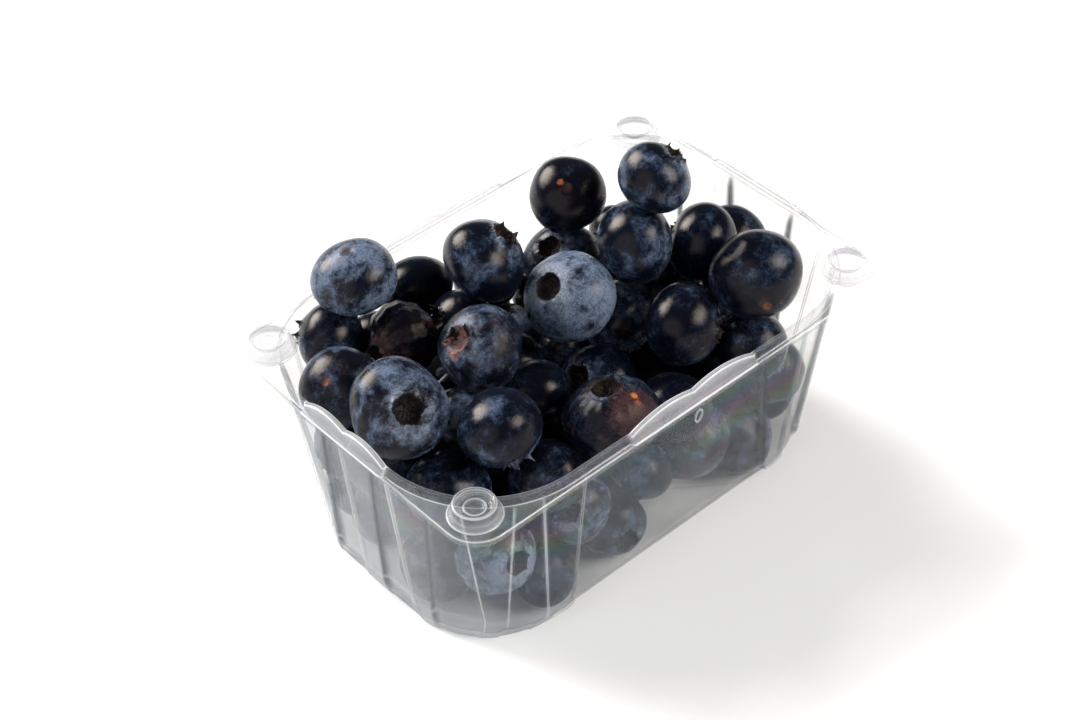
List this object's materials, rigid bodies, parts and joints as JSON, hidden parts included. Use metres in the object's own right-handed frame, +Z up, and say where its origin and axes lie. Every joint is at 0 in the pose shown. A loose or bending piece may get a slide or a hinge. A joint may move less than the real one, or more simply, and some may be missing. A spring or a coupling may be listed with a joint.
{
  "type": "punnet of blueberries",
  "caption": "Clear thermoformed fruit tray with fluted walls, corner studs and scalloped rim tabs, heaped with loose blueberries above the rim.",
  "frame": {"origin": "centre of the tray's flat base, on the surface it stands on", "axes": "+X along the long side of the tray, +Y along its short side, +Z up"},
  "size_m": [0.127, 0.0864, 0.085],
  "materials": {
    "clear_plastic": "clear, glossy, slightly grey",
    "berry_skin": "near-black navy skin with a powdery blue-grey bloom"
  },
  "bodies": {
    "root": {"tray": "clear_plastic", "berry_heap": "berry_skin"}
  },
  "joints": []
}
